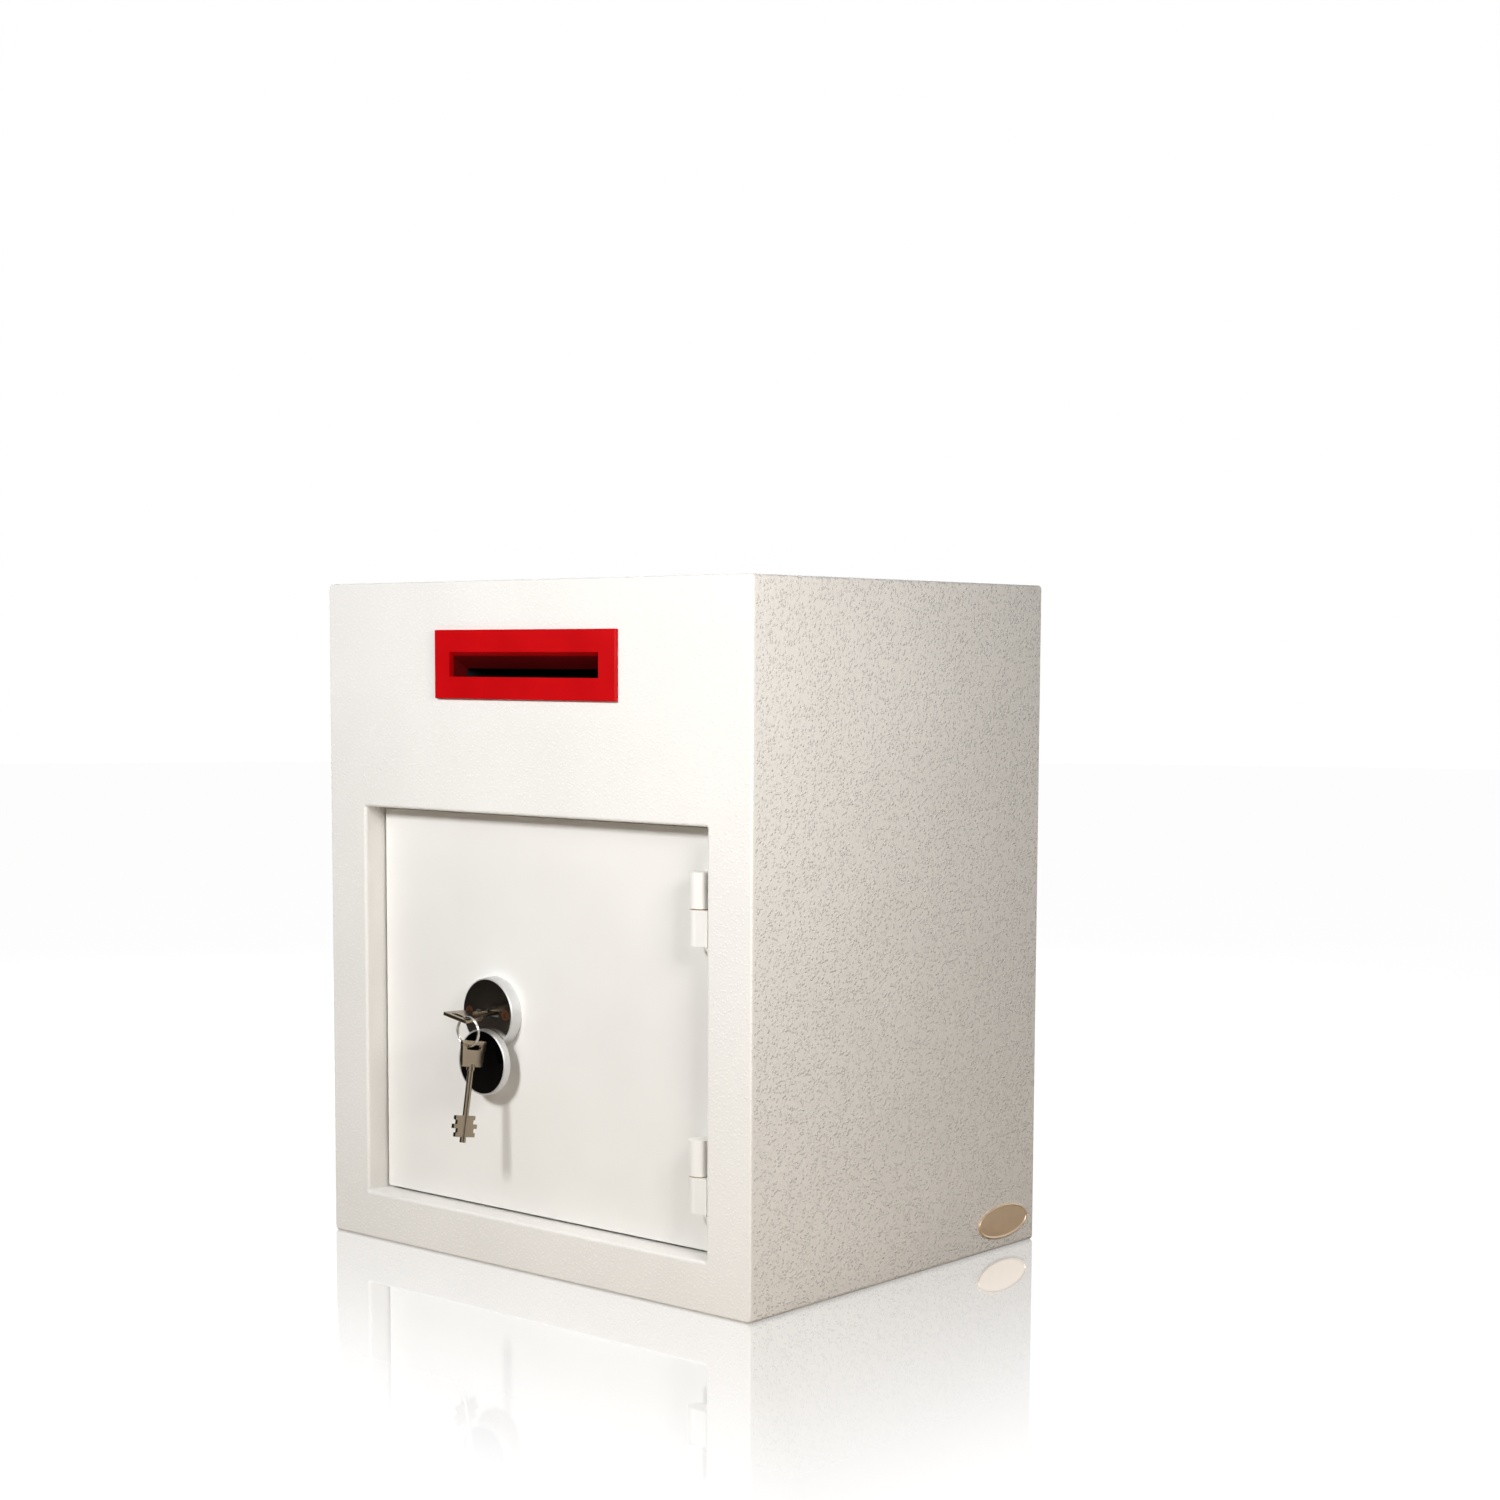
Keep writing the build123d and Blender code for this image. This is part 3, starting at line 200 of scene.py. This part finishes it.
def textured_coat(name, depth):
    paint = material(name)
    patches = paint.noise(0.16, 2, 0.6)
    tone = paint.ramp(patches, (0.35, shade(235, 233, 229)), (0.68, shade(240, 238, 234)))
    noise = {"Vector": paint.place, "Scale": 1 / BEND_SIZE, "Detail": 1}
    bend = paint.node("TexNoise", {}, noise, out="Color")
    bent = paint.node("VectorMath", {"operation": "MULTIPLY_ADD"},
                      {0: bend, 1: (BEND_REACH,) * 3, 2: paint.place})
    cells = {"Vector": bent, "Scale": 1 / NODULE_CELL, "Randomness": 1.0}
    reach = paint.node("TexVoronoi", {}, cells, out="Distance")
    chance = paint.axis("X", paint.node("TexVoronoi", {}, cells, out="Color"))
    there = paint.ramp(chance, (0.3, 0.0), (0.7, 1.0))
    nodules = paint.ramp(reach, (0.1, 1.0), (0.6, 0.0)) * there
    pebbles = paint.noise(PEBBLE, 2, 0.6)
    # Painted highlight: the nodules are a lighter white than the coat around them, as if light caught their
    # tops.
    tone = paint.mix(nodules * 0.35, tone, shade(252, 251, 249))
    coat = paint.bump(nodules + pebbles * 0.3, depth)
    return paint.finish(base_color=tone, roughness=0.5 - nodules * 0.08, normal=coat, specular_ior_level=0.35)


COAT = textured_coat("textured_coat", depth=0.0008)
FRONT_COAT = textured_coat("front_coat", depth=0.0002)
print(COAT.name, "has", len(COAT.node_tree.nodes), "nodes")

# %% [markdown]
# The door and the folded parts behind it have a finer coat of the same colour. Its bumps are less
# than half as wide and far lower, so the door reads as satin.


# %% The door's smooth coat
def door_coat():
    paint = material("door_coat")
    patches = paint.noise(0.11, 2, 0.55)
    tone = paint.ramp(patches, (0.3, shade(236, 234, 230)), (0.7, shade(241, 240, 236)))
    grain = paint.noise(0.0008, 2, 0.5)
    return paint.finish(base_color=tone, roughness=0.34 + grain * 0.1, normal=paint.bump(grain, 0.0001, 0.35))


DOOR_COAT = door_coat()
print(DOOR_COAT.name)

# %% [markdown]
# ## Red enamel
# The slot's frame has a thick, saturated red that runs together smoothly, so the colour drifts between
# two close reds and there is little grain. Behind the front's plane the red is made a dark maroon.
# That stands in for shade: the photograph is dark in there, and the lights of this scene reach further
# in. The colour turns over a couple of millimetres, measured along Y from the cabinet's front.


# %% The slot frame's red
def red_enamel():
    paint = material("red_enamel")
    drift = paint.noise(0.03, 2, 0.5)
    tone = paint.ramp(drift, (0.3, shade(186, 2, 8)), (0.7, shade(196, 3, 10)))
    behind = paint.axis("Y") - FRONT_Y
    inside = paint.ramp(behind / (10 * MM), (0.0, 0.0), (0.2, 0.78))
    # Painted shade: a dark maroon for the slot's inside, where the shade falls.
    painted_shade_red = paint.mix(drift, shade(38, 12, 13), shade(48, 13, 14))
    tone = paint.mix(inside, tone, painted_shade_red)
    flow = paint.noise(0.004, 2, 0.5)
    return paint.finish(base_color=tone, roughness=0.36 + drift * 0.08, specular_ior_level=0.16,
                        normal=paint.bump(flow, 0.00012, 0.4))


RED = red_enamel()
print(RED.name)

# %% [markdown]
# ## Bare and plated metals
# One recipe serves them all: a metal colour, fine scratches, a cloudy change of gloss, and a hint of
# tarnish. The scratches are a noise. Where a metal is brushed, the noise is stretched along one axis
# by making that coordinate smaller. What sets zinc, nickel, brass and plain steel apart is their
# colour and how rough they are.


# %% A recipe for metal
def metal(name, tone, dull, along=(1, 1, 1), tarnish=0.15, spread=0.14):
    paint = material(name)
    brushed = paint.noise(0.0006, 2, 0.55, paint.scaled(along))
    cloud = paint.noise(0.012, 3, 0.6)
    worn = paint.mix(cloud * tarnish, shade(*tone), shade(*(v * 0.62 for v in tone)))
    return paint.finish(base_color=worn, metallic=1.0, roughness=brushed * spread + cloud * 0.08 + dull,
                        normal=paint.bump(brushed, 0.00003, 0.4))


ZINC = metal("zinc_plate", (196, 199, 204), dull=0.26, tarnish=0.3)
STEEL = metal("plain_steel", (178, 178, 180), dull=0.22, along=(1, 0.08, 1))
HARD_STEEL = metal("hard_steel", (96, 97, 102), dull=0.3, tarnish=0.4)
BOLT_STEEL = metal("ground_steel", (190, 190, 192), dull=0.14, along=(0.06, 1, 1), tarnish=0.1)
LEVER_BRASS = metal("lever_brass", (214, 180, 104), dull=0.24, along=(1, 1, 0.1), tarnish=0.3)
NICKEL = metal("key_nickel", (162, 149, 130), dull=0.12, along=(1, 1, 0.12), tarnish=0.25, spread=0.1)
RING_NICKEL = metal("ring_nickel", (226, 224, 220), dull=0.1, along=(1, 0.2, 1), tarnish=0.08, spread=0.06)
SATIN_SILVER = metal("satin_silver", (220, 221, 222), dull=0.42, along=(1, 0.06, 1), tarnish=0.03)
SCREW_BRONZE = metal("screw_bronze", (158, 112, 86), dull=0.24, tarnish=0.5)
print("nine metals")

# %% [markdown]
# The plate round the keyhole was turned on a lathe and polished. The turning leaves fine rings, and
# such rings throw a bright fan of light to the left and right of the middle. The rings are a noise
# of one number, the distance from the lock's axis.


# %% The turned plate
def turned_steel(axis_x, axis_z):
    paint = material("turned_steel")
    out = paint.node("VectorMath", {"operation": "SUBTRACT"}, {0: paint.place, 1: (axis_x, 0, axis_z)})
    radius = paint.node("VectorMath", {"operation": "LENGTH"}, {0: paint.scaled((1, 0, 1), out)}, out="Value")
    rings = paint.node("TexNoise", {"noise_dimensions": "1D"}, {"W": radius, "Scale": 2600, "Detail": 2})
    cloud = paint.noise(0.01, 2, 0.5)
    tone = paint.mix(cloud * 0.4, shade(150, 144, 138), shade(112, 106, 100))
    return paint.finish(base_color=tone, metallic=1.0, roughness=cloud * 0.08 + 0.13,
                        normal=paint.bump(rings, 0.00003, 0.7))


lock_low, lock_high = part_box("escutcheon_face")
lock_x, lock_z = (lock_low.x + lock_high.x) / 2, (lock_low.z + lock_high.z) / 2
TURNED = turned_steel(lock_x, lock_z)
print("turned about x", round(lock_x, 4))

# %% [markdown]
# ## Black gloss, black paint and rubber
# The keyhole cover has a glossy black face. The chute is sprayed matt black, which hides it from
# anyone looking in. The door's buffers are soft rubber.


# %% Three blacks
def black(name, tone, dull, size, depth, shine=0.5):
    paint = material(name)
    grain = paint.noise(size, 2, 0.55)
    dust = paint.mix(grain * 0.3, shade(*tone), shade(*(v * 1.6 + 2 for v in tone)))
    return paint.finish(base_color=dust, roughness=grain * 0.1 + dull, normal=paint.bump(grain, depth, 0.3),
                        specular_ior_level=shine)


BLACK_GLOSS = black("black_gloss", (2, 2, 3), dull=0.05, size=0.006, depth=0.00001, shine=0.1)
BLACK_PAINT = black("black_paint", (26, 25, 26), dull=0.5, size=0.0012, depth=0.0001)
RUBBER = black("rubber", (24, 24, 24), dull=0.72, size=0.0008, depth=0.0001)
print("three blacks")

# %% [markdown]
# ## Dressing the CAD pieces
# Every node names a material slot in the record. One table turns slots into finishes, and a second
# names the few pieces that look different from the rest of their slot.

# %% Finishes by slot
FINISHES = {
    "light_coat": COAT, "door_coat": DOOR_COAT, "red_coat": RED, "dark_coat": BLACK_PAINT, "zinc": ZINC,
    "steel": STEEL, "hard_steel": HARD_STEEL, "polished": TURNED, "silver": SATIN_SILVER,
    "black_gloss": BLACK_GLOSS, "nickel": NICKEL, "brass": LEVER_BRASS, "rubber": RUBBER, "badge": NICKEL,
}
OWN_FINISH = {
    "front_panel": FRONT_COAT, "frame_knuckles": DOOR_COAT, "door_knuckles": DOOR_COAT,
    "locking_bolts": BOLT_STEEL, "lock_curtain": BOLT_STEEL, "key_ring": RING_NICKEL,
    "escutcheon_screws": SCREW_BRONZE,
}


def dress(thing, finish, sharp_over=35):
    """Gives a piece its finish; edges that bend by more than sharp_over degrees stay sharp."""
    thing.data.materials.clear()
    thing.data.materials.append(finish)
    thing.data.shade_smooth()
    thing.data.set_sharp_from_angle(angle=math.radians(sharp_over))


for row in frame["record"]["subparts"]:
    node = frame["nodes"][row["node"]]
    dress(node, OWN_FINISH.get(row["node"], FINISHES[row["material_slot"]]))
print(len(frame["nodes"]), "pieces dressed")

# %% [markdown]
# ## Building finer pieces
# Both finer pieces are rows of corners laid ring after ring. `skin` joins neighbouring rings with
# faces and closes the two ends. `put` turns corners and faces into an object that rides on a body
# and stands for CAD nodes. `sweep` draws a tube along a path: at each point of the path it lays a
# ring of corners square to the path.


# %% Helpers for meshes
def skin(rings, sides):
    faces = []
    for ring in range(rings - 1):
        for k in range(sides):
            here, there = ring * sides + k, ring * sides + (k + 1) % sides
            faces.append((here, there, there + sides, here + sides))
    first = tuple(reversed(range(sides)))
    last = tuple(range((rings - 1) * sides, rings * sides))
    return faces + [first, last]


def put(name, corners, faces, finish, body, stands_for, slot, sharp_over):
    mesh = bpy.data.meshes.new(name)
    mesh.from_pydata([tuple(c) for c in corners], [], faces)
    mesh.update()
    thing = bpy.data.objects.new(name, mesh)
    bpy.context.scene.collection.objects.link(thing)
    dress(thing, finish, sharp_over)
    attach(thing, body)
    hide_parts(*stands_for)


def sweep(path, radius, side, sides=20):
    """Corners and faces of a round wire along path; side is a direction that the path never takes."""
    corners = []
    for i, point in enumerate(path):
        ahead = (path[min(i + 1, len(path) - 1)] - path[max(i - 1, 0)]).normalized()
        u = ahead.cross(side).normalized()
        v = ahead.cross(u).normalized()
        for k in range(sides):
            turn = 2 * math.pi * k / sides
            corners.append(point + (u * math.cos(turn) + v * math.sin(turn)) * radius)
    return corners, skin(len(path), sides)


print("helpers for meshes")

# %% [markdown]
# ## The split ring
# A split ring is one spring wire wound twice. The two turns lie flat against each other, and the
# wire crosses from one to the other over a short stretch, next to both cut ends. The CAD ring is the
# plain outline of that. Here the wire follows its real path inside the same outline, and its radius
# is taken from the CAD ring's width, so that it is no thicker than the CAD ring. The CAD ring's two
# turns run a little into each other, so its width is less than four radii of its wire.

# %% Key ring
RADII_IN_WIDTH = 3.72
RING_STEPS = 240
TURNS, FIRST_END = 1.94, 0.03
CROSSING_AT, CROSSING_OVER = 0.94, 0.11
CUT_ENDS = math.radians(205)
low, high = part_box("key_ring")
wire = (high.y - low.y) / RADII_IN_WIDTH
middle = (low + high) / 2
mean = (high.x - low.x) / 2 - wire
lean = (high.y - low.y) / 2 - wire
path = []
for i in range(RING_STEPS + 1):
    turns = i / RING_STEPS * TURNS + FIRST_END
    crossing = min(max((turns - CROSSING_AT) / CROSSING_OVER, 0), 1)
    shift = -lean + 2 * lean * crossing * crossing * (3 - 2 * crossing)
    angle = 2 * math.pi * turns + CUT_ENDS
    path.append(middle + Vector((mean * math.cos(angle), shift, mean * math.sin(angle))))
turns_of_wire = sweep(path, wire, side=Vector((0, 1, 0)))
put("split_ring", *turns_of_wire, RING_NICKEL, "key_ring", ["key_ring"], "nickel", sharp_over=50)
print("a ring", round((high.x - low.x) / MM, 1), "mm across")

# %% [markdown]
# ## The oval badge
# The badge is a cast oval with a rounded rim round a lower field. A mesh of nested ovals gives the
# section. Each oval has its own inset from the edge, in millimetres, and its own height over the
# cabinet's side, as a share of the badge's thickness. The metal has a fine-grained texture.

# %% Badge
BADGE_SECTION = [
    (0.0, 0.0), (0.0, 0.55), (0.06, 0.78), (0.22, 0.94), (0.5, 1.0), (0.85, 1.0), (1.1, 0.93),
    (1.3, 0.78), (1.42, 0.62), (1.7, 0.55), (2.4, 0.56), (4.2, 0.6), (6.5, 0.64), (8.6, 0.66),
]
BADGE_STEPS = 128
low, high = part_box("oval_badge")
middle = (low + high) / 2
half_y, half_z, thick = (high.y - low.y) / 2, (high.z - low.z) / 2, high.x - low.x
corners = []
for inset, height in BADGE_SECTION:
    for k in range(BADGE_STEPS):
        turn = 2 * math.pi * k / BADGE_STEPS
        corners.append((low.x + thick * height, middle.y + (half_y - inset * MM) * math.cos(turn),
                        middle.z + (half_z - inset * MM) * math.sin(turn)))
faces = skin(len(BADGE_SECTION), BADGE_STEPS)


def badge_metal():
    paint = material("badge_metal")
    cast = paint.noise(0.0007, 3, 0.6)
    cloud = paint.noise(0.006, 2, 0.5)
    tone = paint.mix(cloud * 0.35, shade(252, 232, 206), shade(222, 198, 170))
    return paint.finish(base_color=tone, metallic=1.0, roughness=cast * 0.12 + cloud * 0.1 + 0.24,
                        normal=paint.bump(cast + cloud * 0.5, 0.00008, 0.5))


put("badge", corners, faces, badge_metal(), "cabinet", ["oval_badge"], "badge", sharp_over=40)
print("a badge", round(2 * half_y / MM, 1), "by", round(2 * half_z / MM, 1), "mm")

# %% [markdown]
# ## The studio
# The picture was taken on a white floor that melts into a white background, with a faint upside-down
# safe below that fades away downwards. A real floor would go grey towards the horizon. So the camera
# sees the floor mostly as plain white, with a share of real light for the shadow at the foot and a
# mirror that fades with the distance from the cabinet. Light that bounces off it is slightly warm,
# and further out there is almost none, which keeps the polished faces black.

# %% Floor
FLOOR_RADIUS = 9
SHARE_WHITE = 0.86
MIRROR_AT_FOOT, MIRROR_GONE = 0.6, 0.42
BOUNCE_NEAR, BOUNCE_FAR = (0.5, 0.44, 0.37, 1), (0.05, 0.045, 0.04, 1)


def white_floor():
    paint = material("white_floor")
    away = (abs(paint.axis("X")) - SIDE_X).most(abs(paint.axis("Y")) + FRONT_Y)
    near = paint.ease(away, 0.25, 0.9, 1.0, 0.0)
    bounce = paint.mix(near, BOUNCE_FAR, BOUNCE_NEAR)
    lit = paint.node("BsdfDiffuse", {}, {"Color": (0.9, 0.9, 0.9, 1)})
    white = paint.node("Emission", {}, {"Color": (1, 1, 1, 1), "Strength": 1.12})
    matt = paint.node("MixShader", {}, {0: SHARE_WHITE, 1: lit, 2: white})
    fade = paint.ease(away, 0.0, MIRROR_GONE, MIRROR_AT_FOOT, 0.0)
    mirror = paint.node("BsdfGlossy", {}, {"Color": (1, 1, 1, 1), "Roughness": 0.03})
    seen = paint.node("MixShader", {}, {0: fade, 1: matt, 2: mirror})
    camera_ray = paint.node("LightPath", out="Is Camera Ray")
    warm = paint.node("BsdfDiffuse", {}, {"Color": bounce})
    both = paint.node("MixShader", {}, {0: camera_ray, 1: warm, 2: seen})
    paint.node("OutputMaterial", {}, {"Surface": both})
    return paint.owner


bpy.ops.mesh.primitive_circle_add(vertices=96, radius=FLOOR_RADIUS, fill_type="NGON", location=(0, 0, 0))
floor = bpy.context.object
floor.name = "studio_floor"
floor.data.materials.append(white_floor())
print("a floor", floor.dimensions.x, "m across")

# %% [markdown]
# The world is the backdrop: plain white where the camera looks at it. Besides the soft boxes below, a
# dim dome lights the safe. It is brighter to the right and behind, as if a pale wall stood there.
# Mirrors see two things more. A low band behind the safe is white to them, so that the floor's mirror
# image ends in white. The bright metals on the front must not see that band, or they go flat and pale.
# They mirror a pale tent over the front instead, with darkness round it.

# %% World
BEHIND_LEFT, BEHIND_RIGHT, OVER_FRONT = (-0.66, 0.75, 0), (0.74, 0.66, 0.12), (0.3, -0.7, 0.65)
BAND_TOP = 0.42
dome = Paint(bpy.data.worlds.new("studio"), place="Generated")
bpy.context.scene.world = dome.owner


def toward(direction):
    """How far the ray points in a direction: 1 along it, 0 square to it."""
    return dome.node("VectorMath", {"operation": "DOT_PRODUCT"}, {0: dome.place, 1: direction}, out="Value")


rise = dome.axis("Z")
glossy = dome.node("LightPath", out="Is Glossy Ray")
band = (rise > 0.0) * (rise < BAND_TOP) * (toward(BEHIND_LEFT) > 0.35) * glossy
white = band.most(dome.node("LightPath", out="Is Camera Ray"))
wall = dome.ease(toward(BEHIND_RIGHT), 0.25, 1.0, 0.02, 0.74)
tent = dome.ease(toward(OVER_FRONT), 0.55, 0.85, 0, 0.85)
glow = dome.node("Background", {}, {"Color": (1.0, 0.965, 0.93, 1), "Strength": wall.most(tent * glossy)})
backdrop = dome.node("Background", {}, {"Color": (1, 1, 1, 1), "Strength": 1.0})
dome.node("OutputWorld", {}, {"Surface": dome.node("MixShader", {}, {0: white, 1: glow, 2: backdrop})})
print("the world has", len(dome.tree.nodes), "nodes")

# %% [markdown]
# The keys' shadows fall straight down the door, so the main soft box hangs in front of it, nearly 30
# degrees up. A second stands to the right, just ahead of the front. It brings out the nodules on the
# side and fades towards the back. It also reaches the door and fills the shadows there, which are
# paler than in the photograph. A third lights the back and the left, which the photograph's angle
# never shows.


# %% Soft boxes
def soft_box(name, where, aim, size, power, tone):
    lamp = bpy.data.lights.new(name, "AREA")
    lamp.size, lamp.energy, lamp.color = size, power, tone
    box = bpy.data.objects.new(name, lamp)
    bpy.context.scene.collection.objects.link(box)
    box.location = where
    box.rotation_euler = (Vector(aim) - Vector(where)).to_track_quat("-Z", "Y").to_euler()


soft_box("key_box", where=(-0.06, -1.24, 0.84), aim=(0.0, -0.15, 0.27),
         size=0.24, power=12.6, tone=(0.985, 0.992, 1))
soft_box("side_box", where=(0.72, -0.42, 0.56), aim=(0.2, -0.1, 0.3),
         size=0.2, power=3.2, tone=(1, 0.96, 0.915))
soft_box("back_box", where=(-1.1, 1.0, 0.95), aim=(-0.1, 0.05, 0.25),
         size=1.0, power=15, tone=(1, 0.99, 0.98))
print("three soft boxes")

# %% [markdown]
# ## The camera
# Its place was found by matching the cabinet's outline and known size: 41 degrees round to the right,
# looking 5 degrees down, from 1.9 m away. The picture is cropped off-centre, which is the shift.

# %% Camera
PITCH, ROLL, ROUND = -5.114, -0.175, 41.05
eye = bpy.data.cameras.new("eye")
eye.lens, eye.sensor_width, eye.sensor_fit = 60.22, 36, "HORIZONTAL"
eye.shift_x, eye.shift_y = 0.0196, 0.0889
camera = bpy.data.objects.new("camera", eye)
bpy.context.scene.collection.objects.link(camera)
camera.location = (1.2788, -1.4243, 0.4443)
camera.rotation_euler = (math.radians(90 + PITCH), math.radians(ROLL), math.radians(ROUND))
bpy.context.scene.camera = camera
bpy.context.scene.view_settings.view_transform = "Standard"
print("camera at", tuple(camera.location))
